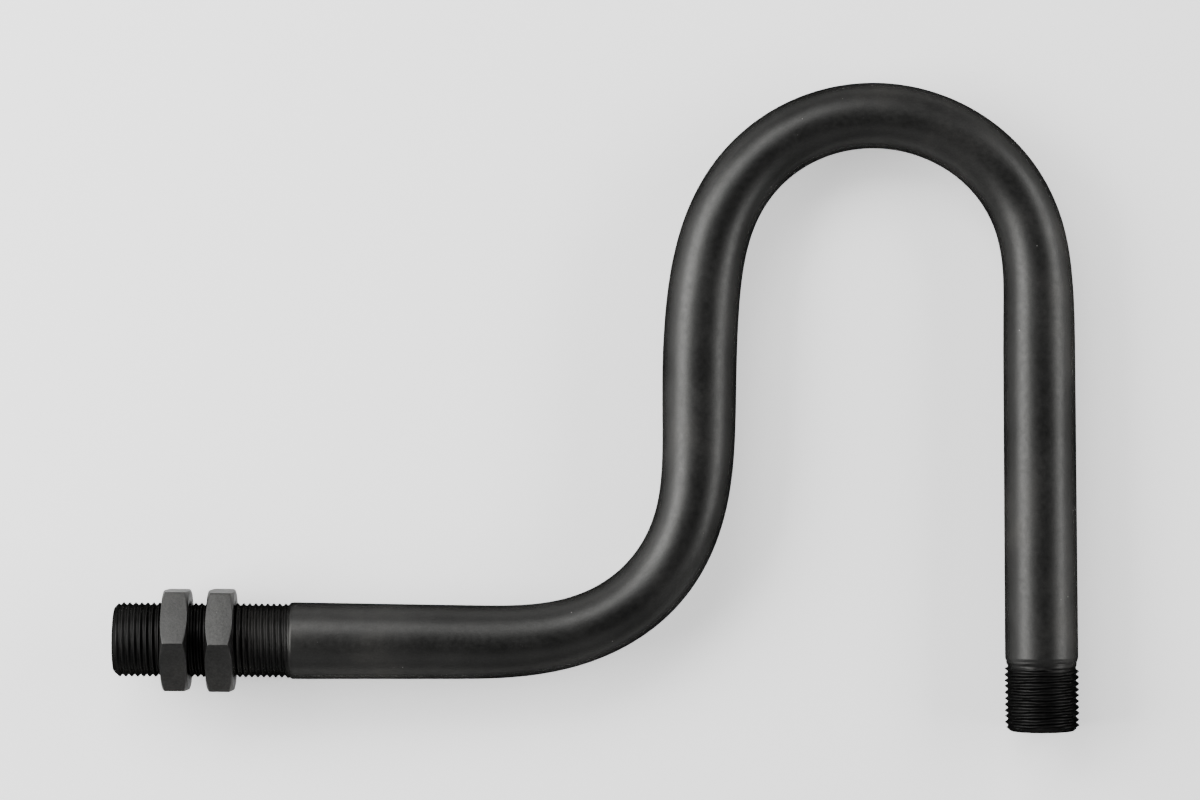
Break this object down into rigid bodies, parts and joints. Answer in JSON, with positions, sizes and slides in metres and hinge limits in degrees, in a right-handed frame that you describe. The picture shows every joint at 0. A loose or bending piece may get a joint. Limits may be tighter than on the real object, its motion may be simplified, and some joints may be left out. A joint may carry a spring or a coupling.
{
  "type": "pressure gauge siphon",
  "caption": "Black steel pressure gauge siphon: a pipe bent through an elbow and a return bend, threaded at both ends, with hex locknuts on the longer thread",
  "frame": {"origin": "centre of the end face of the process thread, on its axis", "axes": "+X along the process leg towards the bends; +Y in the plane of the tube, on the side of the return bend; +Z square to that plane, up as the siphon lies flat"},
  "size_m": [0.2162, 0.1452, 0.0254],
  "materials": {
    "black_tube": "satin black",
    "black_nut": "satin black"
  },
  "bodies": {
    "tube": {"siphon_tube": "black_tube"},
    "outer_nut": {"outer_locknut": "black_nut"},
    "inner_nut": {"inner_locknut": "black_nut"}
  },
  "joints": [
    {"name": "outer_nut_travel", "type": "slide", "parent": "tube", "child": "outer_nut", "axis": [1, 0, 0], "range_m": [-0.00936, 0.00267]},
    {"name": "inner_nut_travel", "type": "slide", "parent": "tube", "child": "inner_nut", "axis": [1, 0, 0], "range_m": [0, 0.01069]}
  ]
}
